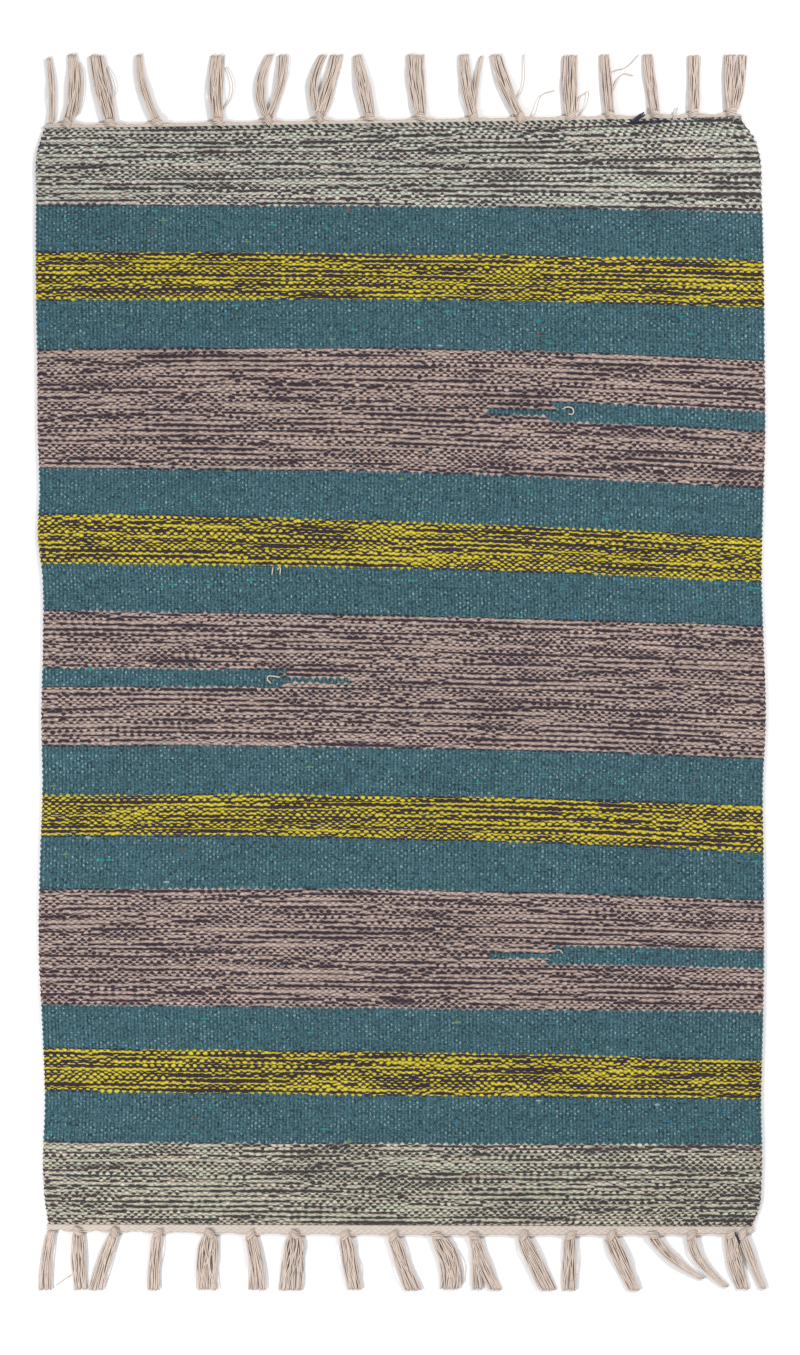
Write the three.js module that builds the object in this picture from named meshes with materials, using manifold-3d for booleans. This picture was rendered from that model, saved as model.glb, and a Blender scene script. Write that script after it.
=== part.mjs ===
// Flat-woven kilim rug, lying flat and face up: one striped field, and at each end a plain
// heading whose warps are knotted into tassels.
//
// Millimetres, +Z up. The length runs along Y and the width along X. The origin is on the
// surface that the rug lies on, under the middle of its outer box.

import * as THREE from "three";
import { mergeVertices } from "three/addons/utils/BufferGeometryUtils.js";
import Module from "manifold-3d";

const wasm = await Module();
wasm.setup();

// Driving dimensions
const HALF_LENGTH = 520; // from the origin to the longest tassel tips
const HALF_WIDTH = 307.5; // to the widest place of the left selvedge and the outermost tip
const FIELD_THICKNESS = 4; // doubled wefts packed over the warps
const HEADING_THICKNESS = 3; // thinner, woven with single warp yarn
const EDGE_ROUND = 1.2; // where the wefts turn back along an edge
const SEAM_GAP = 0.3; // between the field and each heading
const KNOT_WIDTH = 10;
const KNOT_HEIGHT = 6.5;
const KNOT_OFFSET = 0.5; // a knot's middle beyond the heading's outer edge
const SKIRT_HEIGHT = 3.6; // the yarns of a tassel at half length, two or three deep
const TIP_HEIGHT = 2.4;
const NECK_LENGTH = 6.5; // from a knot's middle to where its skirt begins
const NECK_HEIGHT = 4;
const NECK_SPREAD = 0.3; // how far the neck has opened from knot width to middle width
const BRANCH_SIZE = 0.7; // a branch's root against a whole knot

// The two selvedges, drawn in towards both ends and pulled in and out by the stripes
const SELVEDGES = [
  { y: 450, left: -303, right: 296 },
  { y: 438, left: -306.5, right: 300 },
  { y: 400, left: -307.3, right: 302.5 },
  { y: 320, left: -HALF_WIDTH, right: 304.5 },
  { y: 265, left: -306.5, right: 305 },
  { y: 200, left: -306, right: 305.5 },
  { y: 150, left: -304.5, right: 304 },
  { y: 115, left: -306, right: 303 },
  { y: 80, left: -302, right: 302.5 },
  { y: 30, left: -301.5, right: 304 },
  { y: -40, left: -303, right: 306 },
  { y: -95, left: -302, right: 303.5 },
  { y: -155, left: -304, right: 304 },
  { y: -240, left: -305, right: 304.5 },
  { y: -300, left: -302, right: 303.5 },
  { y: -360, left: -300, right: 302 },
  { y: -425, left: -301.5, right: 302.5 },
  { y: -452, left: -299, right: 300 },
];

// The two ends from the left corner to the right one: where the field stops and where the
// heading stops. The top end slopes up to the right.
const TOP_END = [
  { x: -298.5, field: 457.3, heading: 464.5 },
  { x: -150, field: 457.5, heading: 464.3 },
  { x: 0, field: 459, heading: 465.3 },
  { x: 150, field: 462, heading: 467.5 },
  { x: 287, field: 466.3, heading: 471.3 },
];
const BOTTOM_END = [
  { x: -296.5, field: -463.5, heading: -468.3 },
  { x: -240, field: -463.8, heading: -470.3 },
  { x: -60, field: -464.2, heading: -472.3 },
  { x: 110, field: -465, heading: -472.8 },
  { x: 250, field: -463.8, heading: -471.6 },
  { x: 294, field: -465.3, heading: -471.3 },
];

// The tassels from left to right: the X of the knot, of the skirt at half length and of the
// tip, the widths there, and how far the tip stays short of the longest ones. A branch is a
// group of yarns that parts from the knot of the row before it.
const TOP_TASSELS = [
  { knot: -293.8, middle: -293.2, tip: -296.3, middleWidth: 7, tipWidth: 5.5, short: 3 },
  { knot: -281.2, middle: -275.4, tip: -277.4, middleWidth: 12, tipWidth: 8, short: 0 },
  { knot: -245.1, middle: -249.8, tip: -256, middleWidth: 13, tipWidth: 12, short: 0.5 },
  { knot: -204.8, middle: -216.5, tip: -220.7, middleWidth: 8, tipWidth: 7.5, short: 0 },
  { knot: -154.4, middle: -153.5, tip: -153.9, middleWidth: 13, tipWidth: 12.5, short: 0.5 },
  { knot: -112.4, middle: -106.5, tip: -99.3, middleWidth: 13, tipWidth: 11, short: 0 },
  { knot: -112.4, middle: -116.5, tip: -109.8, middleWidth: 8, tipWidth: 5, short: 0, branch: true },
  { knot: -69.5, middle: -61, tip: -54.4, middleWidth: 12.5, tipWidth: 11.5, short: 0 },
  { knot: -69.5, middle: -73.5, tip: -68.3, middleWidth: 9, tipWidth: 7.5, short: 0, branch: true },
  { knot: -26.7, middle: -33, tip: -38.4, middleWidth: 15, tipWidth: 10, short: 0.5 },
  { knot: 16.2, middle: 12.8, tip: 11.6, middleWidth: 13.5, tipWidth: 14.3, short: 0 },
  { knot: 60.7, middle: 56.8, tip: 52.7, middleWidth: 12, tipWidth: 9.2, short: 0 },
  { knot: 60.7, middle: 62.5, tip: 67.4, middleWidth: 5, tipWidth: 3.5, short: 1, branch: true },
  { knot: 100.2, middle: 89.3, tip: 79.6, middleWidth: 12.6, tipWidth: 12.6, short: 0 },
  { knot: 142.2, middle: 142, tip: 142.6, middleWidth: 13, tipWidth: 12.6, short: 0.5 },
  { knot: 175.8, middle: 172.4, tip: 170.3, middleWidth: 9.5, tipWidth: 7.6, short: 0 },
  { knot: 213.6, middle: 209.4, tip: 206.4, middleWidth: 10, tipWidth: 9.2, short: 0 },
  { knot: 245.5, middle: 245.9, tip: 246.3, middleWidth: 10.5, tipWidth: 10, short: 0.5 },
  { knot: 277.4, middle: 279.5, tip: 280.8, middleWidth: 17, tipWidth: 19, short: 0 },
];
const BOTTOM_TASSELS = [
  { knot: -292, middle: -297.1, tip: -298.8, middleWidth: 10, tipWidth: 14, short: 0 },
  { knot: -272.2, middle: -271.7, tip: -270, middleWidth: 13, tipWidth: 12.4, short: 0.5 },
  { knot: -241.2, middle: -247.4, tip: -256.2, middleWidth: 12.5, tipWidth: 14.5, short: 0 },
  { knot: -205, middle: -207.8, tip: -208.6, middleWidth: 11, tipWidth: 10, short: 0 },
  { knot: -161.3, middle: -163.4, tip: -163, middleWidth: 18, tipWidth: 18.5, short: 0.5 },
  { knot: -127.5, middle: -122.6, tip: -120.8, middleWidth: 13, tipWidth: 16.5, short: 0 },
  { knot: -89.7, middle: -91.5, tip: -93.8, middleWidth: 18.5, tipWidth: 19, short: 0 },
  { knot: -47.7, middle: -43.1, tip: -38.9, middleWidth: 14, tipWidth: 12.5, short: 0.5 },
  { knot: -7.4, middle: 0.6, tip: 9.9, middleWidth: 13.5, tipWidth: 15.5, short: 0 },
  { knot: 29.6, middle: 42.2, tip: 40.5, middleWidth: 18, tipWidth: 16, short: 1 },
  { knot: 60.7, middle: 68.5, tip: 79.6, middleWidth: 12, tipWidth: 12, short: 0 },
  { knot: 60.7, middle: 62, tip: 63.6, middleWidth: 7, tipWidth: 9, short: 0.5, branch: true },
  { knot: 101.9, middle: 113, tip: 123.7, middleWidth: 15, tipWidth: 15, short: 0 },
  { knot: 141.8, middle: 140.9, tip: 140.4, middleWidth: 12.6, tipWidth: 12.5, short: 0 },
  { knot: 175.8, middle: 185.5, tip: 195.8, middleWidth: 15, tipWidth: 9.5, short: 0 },
  { knot: 211, middle: 229, tip: 254, middleWidth: 13, tipWidth: 6, short: 10 },
  { knot: 243.2, middle: 254.4, tip: 274, middleWidth: 10, tipWidth: 6, short: 4 },
  { knot: 276.2, middle: 280.5, tip: 287.5, middleWidth: 12, tipWidth: 9, short: 1 },
  { knot: 285.8, middle: 294.3, tip: 304.2, middleWidth: 9.7, tipWidth: 6.6, short: 1.5 },
];

// A knot from inside the heading to its lower side: where each section lies, in knot widths
// from the knot's middle, and its width and height as shares of the knot's
const KNOT_SECTIONS = [
  { along: -0.5, width: 0.5, height: 0.4 },
  { along: -0.25, width: 0.85, height: 0.85 },
  { along: 0, width: 1, height: 1 },
  { along: 0.25, width: 0.95, height: 0.9 },
];

// Finishes
const STRIPED_WEFT = { color: 0x6f6a6e, roughness: 0.95, metalness: 0 };
const ECRU_COTTON = { color: 0xd0bca8, roughness: 0.9, metalness: 0 };

// How fine the facets are
const SPLINE_STEPS = 3; // between two rows of a table
const EDGE_ROUND_STEPS = 2;
const ARCH_SIDES = 6; // over the top of a tassel
const SKIRT_STEPS = 4; // from neck to tip
const WELD_DISTANCE = 1e-4; // corners closer than this are one

// A flat piece of cloth of an even thickness, rounded along its outline, lying on z = 0
function flatCloth(shape, thickness) {
  const geometry = new THREE.ExtrudeGeometry(shape, {
    depth: thickness - 2 * EDGE_ROUND,
    curveSegments: SPLINE_STEPS,
    bevelThickness: EDGE_ROUND,
    bevelSize: EDGE_ROUND,
    bevelOffset: -EDGE_ROUND,
    bevelSegments: EDGE_ROUND_STEPS,
  });
  return geometry.translate(0, 0, EDGE_ROUND);
}

// The field: down the left selvedge, along the bottom end, up the right selvedge and back
// along the top end
function fieldGeometry() {
  const left = SELVEDGES.map((row) => new THREE.Vector2(row.left, row.y));
  const right = SELVEDGES.map((row) => new THREE.Vector2(row.right, row.y)).reverse();
  const top = TOP_END.map((row) => new THREE.Vector2(row.x, row.field)).reverse();
  const bottom = BOTTOM_END.map((row) => new THREE.Vector2(row.x, row.field));
  const start = top.at(-1);
  const outline = new THREE.Shape();
  outline.moveTo(start.x, start.y);
  outline.splineThru([...left, bottom[0]]);
  outline.splineThru(bottom.slice(1));
  outline.splineThru([...right, top[0]]);
  outline.splineThru(top.slice(1));
  return flatCloth(outline, FIELD_THICKNESS);
}

// The plain strip beyond one end of the field. The side is +1 at the top end, -1 at the
// bottom end.
function headingGeometry(end, side) {
  const inner = end.map((row) => new THREE.Vector2(row.x, row.field + side * SEAM_GAP));
  const outer = end.map((row) => new THREE.Vector2(row.x, row.heading)).reverse();
  const outline = new THREE.Shape();
  outline.moveTo(inner[0].x, inner[0].y);
  outline.splineThru(inner.slice(1));
  outline.lineTo(outer[0].x, outer[0].y);
  outline.splineThru(outer.slice(1));
  return flatCloth(outline, HEADING_THICKNESS);
}

// Y of the heading's outer edge at x
function headingEdge(end, x) {
  const next = Math.max(1, end.findIndex((row) => row.x >= x));
  const [a, b] = [end[next - 1], end[next]];
  return THREE.MathUtils.mapLinear(x, a.x, b.x, a.heading, b.heading);
}

// X of a tassel's middle line: a parabola through knot, middle and tip. t runs from 0 at the
// knot to 1 at the tip.
function tasselX(row, t) {
  const straight = THREE.MathUtils.lerp(row.knot, row.tip, t);
  const bow = row.middle - (row.knot + row.tip) / 2;
  return straight + bow * 4 * t * (1 - t);
}

// The sections of one tassel, from inside the heading through the knot to the cut tip
function tasselSections(row, end, side) {
  const knotY = headingEdge(end, row.knot) + side * KNOT_OFFSET;
  const tipY = side * (HALF_LENGTH - row.short);
  const length = Math.abs(tipY - knotY);
  const size = row.branch ? BRANCH_SIZE : 1;
  const sections = KNOT_SECTIONS.map(({ along, width, height }) => ({
    along: along * KNOT_WIDTH,
    width: width * KNOT_WIDTH * size,
    height: height * KNOT_HEIGHT * size,
  }));
  const neckWidth = THREE.MathUtils.lerp(KNOT_WIDTH * size, row.middleWidth, NECK_SPREAD);
  sections.push({ along: NECK_LENGTH, width: neckWidth, height: NECK_HEIGHT * size });
  for (let step = 1; step <= SKIRT_STEPS; step += 1) {
    const t = step / SKIRT_STEPS;
    const spread = Math.sin(Math.PI * Math.min(t, 0.5));
    const upper = THREE.MathUtils.lerp(neckWidth, row.middleWidth, spread);
    const lower = THREE.MathUtils.lerp(row.middleWidth, row.tipWidth, 2 * t - 1);
    const height = THREE.MathUtils.lerp(SKIRT_HEIGHT, TIP_HEIGHT, t);
    const along = THREE.MathUtils.lerp(NECK_LENGTH, length, t);
    sections.push({ along, width: t < 0.5 ? upper : lower, height });
  }
  return sections.map(({ along, width, height }) => ({
    x: tasselX(row, Math.max(0, along) / length),
    y: knotY + side * along,
    width,
    height,
  }));
}

// A closed body through sections across Y, each flat on z = 0 and arched above
function archedLoft(sections, side) {
  const corners = ARCH_SIDES + 1;
  const positions = [];
  for (const { x, y, width, height } of sections) {
    for (let i = 0; i < corners; i += 1) {
      const angle = (Math.PI * i) / ARCH_SIDES;
      positions.push(x + (width / 2) * Math.cos(angle), y, height * Math.sin(angle));
    }
  }
  const faces = [];
  for (let s = 0; s + 1 < sections.length; s += 1) {
    for (let i = 0; i < corners; i += 1) {
      const j = (i + 1) % corners;
      const [a, b] = [s * corners + i, s * corners + j];
      const [c, d] = [a + corners, b + corners];
      faces.push([a, b, d], [a, d, c]);
    }
  }
  const last = (sections.length - 1) * corners;
  for (let i = 1; i + 1 < corners; i += 1) {
    faces.push([0, i + 1, i], [last, last + i, last + i + 1]);
  }
  const outward = side > 0 ? faces.map(([a, b, c]) => [a, c, b]) : faces;
  const geometry = new THREE.BufferGeometry();
  geometry.setAttribute("position", new THREE.Float32BufferAttribute(positions, 3));
  geometry.setIndex(outward.flat());
  return geometry;
}

// A closed geometry as a solid that can be joined
function toSolid(geometry) {
  const bare = geometry.clone();
  bare.deleteAttribute("normal");
  bare.deleteAttribute("uv");
  const merged = mergeVertices(bare, WELD_DISTANCE);
  return new wasm.Manifold(
    new wasm.Mesh({
      numProp: 3,
      vertProperties: new Float32Array(merged.attributes.position.array),
      triVerts: new Uint32Array(merged.index.array),
    }),
  );
}

// A joined solid as a geometry again
function toGeometry(solid) {
  const mesh = solid.getMesh();
  const geometry = new THREE.BufferGeometry();
  geometry.setAttribute("position", new THREE.BufferAttribute(mesh.vertProperties, 3));
  geometry.setIndex(new THREE.BufferAttribute(mesh.triVerts, 1));
  geometry.computeVertexNormals();
  return geometry;
}

// One comb: the heading is its back and the tassels are its teeth
function combGeometry(end, tassels, side) {
  let comb = toSolid(headingGeometry(end, side));
  for (const row of tassels) {
    comb = comb.add(toSolid(archedLoft(tasselSections(row, end, side), side)));
  }
  return toGeometry(comb);
}

function namedMesh(name, geometry, material) {
  const mesh = new THREE.Mesh(geometry, new THREE.MeshStandardMaterial(material));
  mesh.name = name;
  return mesh;
}

const rug = new THREE.Group();
rug.add(
  namedMesh("field", fieldGeometry(), STRIPED_WEFT),
  namedMesh("top_fringe", combGeometry(TOP_END, TOP_TASSELS, 1), ECRU_COTTON),
  namedMesh("bottom_fringe", combGeometry(BOTTOM_END, BOTTOM_TASSELS, -1), ECRU_COTTON),
);

export default rug;
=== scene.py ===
"""A flat-woven kilim rug that lies face up: a field of seventeen cross stripes, a plain heading at
each end, and the warp ends knotted into tassels.

The scene is in metres and the tables are in millimetres. The length runs along Y and the width
along X, from the point on the floor under the middle of the rug.
"""

import logging
import math
from collections.abc import Callable
from dataclasses import dataclass, field
from enum import Enum
from typing import Any

import bpy
import numpy as np
from bpy.types import ColorRamp, Material, NodeSocket, Object
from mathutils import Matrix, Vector


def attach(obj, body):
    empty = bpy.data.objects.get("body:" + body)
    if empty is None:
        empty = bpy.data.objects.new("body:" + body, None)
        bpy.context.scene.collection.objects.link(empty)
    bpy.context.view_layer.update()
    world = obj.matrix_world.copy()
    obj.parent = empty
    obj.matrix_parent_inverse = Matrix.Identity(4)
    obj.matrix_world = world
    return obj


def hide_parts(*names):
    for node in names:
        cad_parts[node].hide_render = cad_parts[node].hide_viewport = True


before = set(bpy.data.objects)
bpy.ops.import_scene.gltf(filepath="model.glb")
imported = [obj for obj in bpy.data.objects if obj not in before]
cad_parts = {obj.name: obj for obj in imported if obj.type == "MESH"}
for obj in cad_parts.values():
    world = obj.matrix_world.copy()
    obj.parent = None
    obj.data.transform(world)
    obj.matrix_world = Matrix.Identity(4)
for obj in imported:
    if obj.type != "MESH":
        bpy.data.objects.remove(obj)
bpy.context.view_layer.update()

BODY = "root"
MM = 0.001
UP = np.array([0.0, 0.0, 1.0])

# Driving dimensions, the same as the solids'
HALF_LENGTH = 520.0
FIELD_THICKNESS = 4.0
HEADING_THICKNESS = 3.0
SEAM_GAP = 0.3
KNOT_WIDTH = 10.0
KNOT_HEIGHT = 6.5
KNOT_OFFSET = 0.5  # from the heading's outer edge to a knot's middle
SKIRT_HEIGHT = 3.6
TIP_HEIGHT = 2.4
WARPS = 199
EDGE_REACH = 300.0  # from the middle to where an edge's left and right Y are taken

WEAVE_MAP = "WeaveGrid"
YARN_MAP = "YarnRun"
BAKE_MAP = "OFBake"

Array = np.ndarray
Colour = tuple[float, float, float, float]
Span = tuple[float, float]  # the least and the most of something


class Weft(Enum):
    """The weft yarns, by the stripes they make."""

    PALE_TOP = "pale_top"
    TEAL = "teal"
    YELLOW = "yellow"
    PINK = "pink"
    PALE_BOTTOM = "pale_bottom"


class Side(Enum):
    """The two ends of the rug, by their direction along Y."""

    TOP = 1
    BOTTOM = -1

    @property
    def word(self) -> str:
        """The end's name, as in the names of its pieces."""
        return self.name.lower()


@dataclass(frozen=True)
class Edge:
    """A slightly bowed line across the rug, by its Y at the left, in the middle and at the right."""

    left: float
    middle: float
    right: float

    def at(self, x: Array | float) -> Array | float:
        """Where the line runs.

        Args:
            x: How far to the right of the middle.

        Returns:
            Y of the line there.
        """
        share = x / EDGE_REACH
        bow = (self.left + self.right) / 2 - self.middle
        return self.middle + (self.right - self.left) / 2 * share + bow * share * share


@dataclass(frozen=True)
class Stripe:
    """One cross stripe: its yarn, how many picks it has and where its lower edge runs."""

    name: str
    weft: Weft
    picks: int
    lower: Edge


@dataclass(frozen=True)
class Wedge:
    """A short teal inlay that starts at a selvedge and stops inside a stripe.

    Args:
        stripe: The stripe it lies in, counted from 0 at the top.
        first: Its first pick, counted from the stripe's upper edge.
        last: Its last pick.
        end: The warp where it stops.
        tail: The first of the two picks that run on as a thin tail.
        tail_end: The warp where the tail stops.
        from_right: Whether it starts at the right selvedge.
    """

    stripe: int
    first: int
    last: int
    end: float
    tail: int
    tail_end: float
    from_right: bool


@dataclass(frozen=True)
class Tassel:
    """One tassel, or a branch that parts from the knot of the row before it.

    Args:
        knot: X of its knot.
        middle: X of its middle line at half length.
        tip: X of its tip.
        middle_width: Its width at half length.
        tip_width: Its width at the tip.
        short: How far its tip stays short of the longest ones.
        branch: Whether it is a branch.
        knotted: Whether it has a knot.
        lift: How much further out than the others its knot lies.
    """

    knot: float
    middle: float
    tip: float
    middle_width: float
    tip_width: float
    short: float
    branch: bool = False
    knotted: bool = True
    lift: float = 0.0


@dataclass(frozen=True)
class LooseYarn:
    """A yarn that has come away: its points from its root on, and its height at both ends."""

    points: tuple[tuple[float, float], ...]
    start_height: float = 1.4
    end_height: float = 1.0
    radius: float = 0.5


TOP_EDGE = Edge(457.3, 459.4, 467.0)
STRIPES = (
    Stripe("pale_1", Weft.PALE_TOP, 32, Edge(391.6, 391.8, 386.4)),
    Stripe("teal_1", Weft.TEAL, 20, Edge(354.0, 351.5, 346.0)),
    Stripe("yellow_1", Weft.YELLOW, 20, Edge(312.5, 313.0, 306.8)),
    Stripe("teal_2", Weft.TEAL, 20, Edge(270.6, 272.1, 262.7)),
    Stripe("pink_1", Weft.PINK, 47, Edge(171.2, 167.6, 155.1)),
    Stripe("teal_3", Weft.TEAL, 20, Edge(133.2, 126.8, 114.0)),
    Stripe("yellow_2", Weft.YELLOW, 19, Edge(91.3, 87.5, 76.2)),
    Stripe("teal_4", Weft.TEAL, 18, Edge(51.8, 47.5, 39.0)),
    Stripe("pink_2", Weft.PINK, 52, Edge(-61.8, -63.7, -72.9)),
    Stripe("teal_5", Weft.TEAL, 18, Edge(-103.6, -103.8, -112.0)),
    Stripe("yellow_3", Weft.YELLOW, 18, Edge(-138.1, -140.0, -151.6)),
    Stripe("teal_6", Weft.TEAL, 19, Edge(-181.9, -182.6, -190.9)),
    Stripe("pink_3", Weft.PINK, 46, Edge(-278.9, -282.3, -285.4)),
    Stripe("teal_7", Weft.TEAL, 18, Edge(-315.4, -319.3, -325.3)),
    Stripe("yellow_4", Weft.YELLOW, 17, Edge(-351.8, -355.5, -358.5)),
    Stripe("teal_8", Weft.TEAL, 19, Edge(-394.5, -395.9, -397.0)),
    Stripe("pale_2", Weft.PALE_BOTTOM, 32, Edge(-463.4, -464.2, -465.2)),
)
STARTS = np.cumsum([0, *(stripe.picks for stripe in STRIPES)])  # of each stripe in picks, and the end

WEDGES = (
    Wedge(4, 19, 25, 140.4, 22, 122.8, True),
    Wedge(8, 22, 28, 65.2, 25, 85.0, False),
    Wedge(12, 21, 27, 140.5, 24, 123.6, True),
)

# Y, and X of the left and the right selvedge there, from the top to the bottom
SELVEDGES = (
    (471, -297.5, 282.5), (462, -298.7, 287.2), (450, -303, 296), (438, -306.5, 300),
    (400, -307.3, 302.5), (320, -307.5, 304.5), (265, -306.5, 305), (200, -306, 305.5),
    (150, -304.5, 304), (115, -306, 303), (80, -302, 302.5), (30, -301.5, 304),
    (-40, -303, 306), (-95, -302, 303.5), (-155, -304, 304), (-240, -305, 304.5),
    (-300, -302, 303.5), (-360, -300, 302), (-425, -301.5, 302.5), (-452, -299, 300),
    (-466, -296.5, 294),
)

# Each heading's inner and outer edge
HEADING_EDGES = {
    Side.TOP: (TOP_EDGE, Edge(459.8, 464.3, 469.5)),
    Side.BOTTOM: (STRIPES[-1].lower, Edge(-468.4, -472.5, -471.3)),
}

TASSEL_SEEDS = {Side.TOP: 3000, Side.BOTTOM: 1000}  # each row of the table adds its number
# From left to right
TASSELS = {
    Side.TOP: (
        Tassel(-294.6, -294.0, -297.0, 6.4, 4.6, 3, knotted=False),
        Tassel(-281.2, -275.4, -277.4, 12, 8, 0),
        Tassel(-245.1, -251.4, -256.6, 14, 12, 0.5),
        Tassel(-204.8, -216.5, -220.7, 8, 6, 0),
        Tassel(-154.4, -156.4, -155.4, 13, 12.5, 0.5),
        Tassel(-112.4, -102.6, -99.4, 8, 9, 0, lift=1.2),
        Tassel(-112.4, -118.6, -110.4, 8.5, 7, 0, branch=True, lift=1.2),
        Tassel(-69.5, -61, -54.4, 12.5, 11.5, 0, lift=2.4),
        Tassel(-69.5, -74.5, -66.3, 8.5, 7.5, 0, branch=True, lift=2.4),
        Tassel(-26.7, -32.8, -37.2, 13.6, 7.4, 0.5, lift=2.0),
        Tassel(16.2, 12.8, 11.6, 13.5, 14.3, 0, lift=1.6),
        Tassel(60.7, 54.4, 51.6, 11, 9, 0),
        Tassel(60.7, 62.5, 67.4, 5, 3.5, 1, branch=True),
        Tassel(100.2, 87.2, 79.0, 11.6, 9.6, 0),
        Tassel(142.2, 141, 141.4, 13, 12, 0.5, lift=-1.2),
        Tassel(175.8, 172.4, 170.3, 9.5, 7.6, 0, lift=-1.0),
        Tassel(213.6, 209.4, 206.4, 10, 9.2, 0),
        Tassel(245.5, 245.9, 246.3, 10.5, 10, 0.5),
        Tassel(277.4, 279.5, 280.8, 17, 19, 0),
    ),
    Side.BOTTOM: (
        Tassel(-294.4, -299.3, -300.0, 9.6, 13.6, 0, knotted=False),
        Tassel(-272.2, -271.7, -270, 13, 12.4, 0.5),
        Tassel(-241.2, -250.4, -257.6, 12.5, 14.5, 0),
        Tassel(-205, -207.8, -208.6, 11, 10, 0),
        Tassel(-161.3, -163.4, -163, 18, 18.5, 0.5),
        Tassel(-127.5, -122.6, -120.8, 13, 16.5, 0),
        Tassel(-89.7, -91.5, -93.8, 18.5, 19, 0),
        Tassel(-47.7, -43.1, -38.9, 14, 12.5, 0.5),
        Tassel(-7.4, 0.6, 9.9, 13.5, 15.5, 0),
        Tassel(29.6, 40.0, 40.5, 18, 16, 1),
        Tassel(60.7, 68.5, 79.6, 12, 12, 0),
        Tassel(60.7, 62, 63.6, 7, 9, 0.5, branch=True),
        Tassel(101.9, 111.6, 123.2, 14.6, 15, 0),
        Tassel(141.8, 140.9, 140.4, 12.6, 12.5, 0),
        Tassel(175.8, 185.5, 195.8, 15, 9.5, 0),
        Tassel(211, 225.6, 252.6, 12.6, 5, 10),
        Tassel(243.2, 250.8, 273, 10, 5, 3),
        Tassel(276.2, 280, 287, 14, 10, 1),
        Tassel(285.8, 294.3, 304.2, 9.7, 6.6, 1.5),
    ),
}

TOP_STRAYS = (
    LooseYarn(
        ((-151, 472.4), (-145.1, 480.8), (-142.6, 487.5), (-142.6, 495.9), (-144.3, 501.8), (-147.6, 509.3))
    ),
    LooseYarn(((-250.1, 472.4), (-244.2, 480.8), (-240.9, 488.3), (-242.5, 497.6), (-247.6, 509.3))),
    LooseYarn(((-271.9, 468.2), (-268.6, 480.8), (-267.6, 494), (-268.6, 506.8), (-271.1, 512.7))),
    LooseYarn(((-273.9, 468.2), (-270.6, 480.8), (-269.4, 494), (-270.6, 506.8), (-273.1, 512.7))),
    LooseYarn(((-117.4, 468.2), (-122.4, 485), (-117.4, 506), (-112.3, 518.6))),
    LooseYarn(((92.6, 465.7), (96, 479.1), (101.8, 492.5), (102.7, 520))),
    LooseYarn(((101, 462.3), (108.6, 465.7), (119.5, 486.7), (128.7, 489.2)), 3.2, 1.2),
    LooseYarn(((148, 470.7), (151.4, 485), (156.4, 488.3), (155.6, 478.3), (149.7, 468.2)), 1.6, 2.0),
    LooseYarn(((171.6, 470.7), (178.3, 490.9), (186.7, 503.5), (195.1, 501.8))),
    LooseYarn(((169.9, 485), (177.4, 505.1), (188.4, 508.5), (199.3, 519.6))),
    LooseYarn(((227.8, 464.8), (230.4, 470.7), (232, 475.6)), 3.4, 1.6, 0.75),
)
BOTTOM_STRAYS = (
    LooseYarn(((-291, -515.7), (-285.4, -511.3), (-278.8, -507.1))),
    LooseYarn(((26.2, -476), (33, -485.2), (39.7, -495.3), (39.7, -515.5))),
    LooseYarn(((38.9, -476), (45.9, -486.9), (51.4, -498.7), (51.8, -513.8))),
    LooseYarn(((170.7, -476.8), (180, -497.8), (193.4, -518.8))),
)
NAVY_ENDS = (
    LooseYarn(((191.7, 462.3), (203, 462.6), (214, 463.2), (224.5, 463.5)), 5.0, 4.2, 0.7),
    LooseYarn(((193.2, 462.4), (198.2, 466.2), (203.4, 470.4)), 4.6, 4.2, 0.9),
    LooseYarn(((194.6, 461.4), (199.4, 465.0), (204.2, 468.4)), 4.4, 5.4, 0.9),
    LooseYarn(((192.6, 461.6), (196.8, 465.6), (200.8, 468.9)), 5.2, 5.6, 0.8),
    LooseYarn(((289.2, -461.7), (291.8, -463.1), (293.4, -465.1)), 4.4, 4.0, 0.8),
    LooseYarn(((279.9, -470.1), (282.4, -475.1), (284.1, -480.2)), 4.2, 3.0, 0.6),
)
LIGHT_ENDS = (
    LooseYarn(((134.6, 221.2), (139.7, 222.9), (143.8, 221.2), (143.8, 217), (139.7, 217)), 4.2, 4.6, 0.6),
    LooseYarn(
        ((-102.3, -4.1), (-107.3, -3.3), (-112.4, -3.5), (-113, -5.2), (-109.8, -9.2)), 4.0, 4.6, 0.6
    ),
    LooseYarn(((129.6, -233.2), (132.9, -233.2), (135.4, -236.6)), 4.2, 4.4, 0.5),
    LooseYarn(((-109, 81.8), (-108.6, 85.5), (-108.1, 88.5)), 4.2, 4.6, 0.6),
    LooseYarn(((-104.8, 86), (-102.3, 88.2), (-102.3, 81.8)), 4.6, 4.2, 0.6),
)


def linear(red: int, green: int, blue: int) -> Colour:
    """A display colour from 0 to 255 as the linear colour a shader takes.

    Args:
        red, green, blue: The display colour.

    Returns:
        Linear red, green, blue and an alpha of 1.
    """

    def channel(value: int) -> float:
        """One channel, by the display curve."""
        share = value / 255
        return share / 12.92 if share <= 0.04045 else ((share + 0.055) / 1.055) ** 2.4

    return channel(red), channel(green), channel(blue), 1.0


def through(at: Array, places: Array, values: Array) -> Array:
    """A smooth line through rows of a table, with the slope at each row from its neighbours.

    Args:
        at: Where to read the line.
        places: The rows' places, rising.
        values: The rows' values.

    Returns:
        The line's value at each place.
    """
    slopes = np.gradient(values, places)
    index = np.clip(np.searchsorted(places, at) - 1, 0, len(places) - 2)
    step = places[index + 1] - places[index]
    t = np.clip((at - places[index]) / step, 0, 1)
    start = (1 + 2 * t) * (1 - t) ** 2 * values[index] + t * (1 - t) ** 2 * step * slopes[index]
    rest = t * t * (3 - 2 * t) * values[index + 1] - t * t * (1 - t) * step * slopes[index + 1]
    return start + rest


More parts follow.
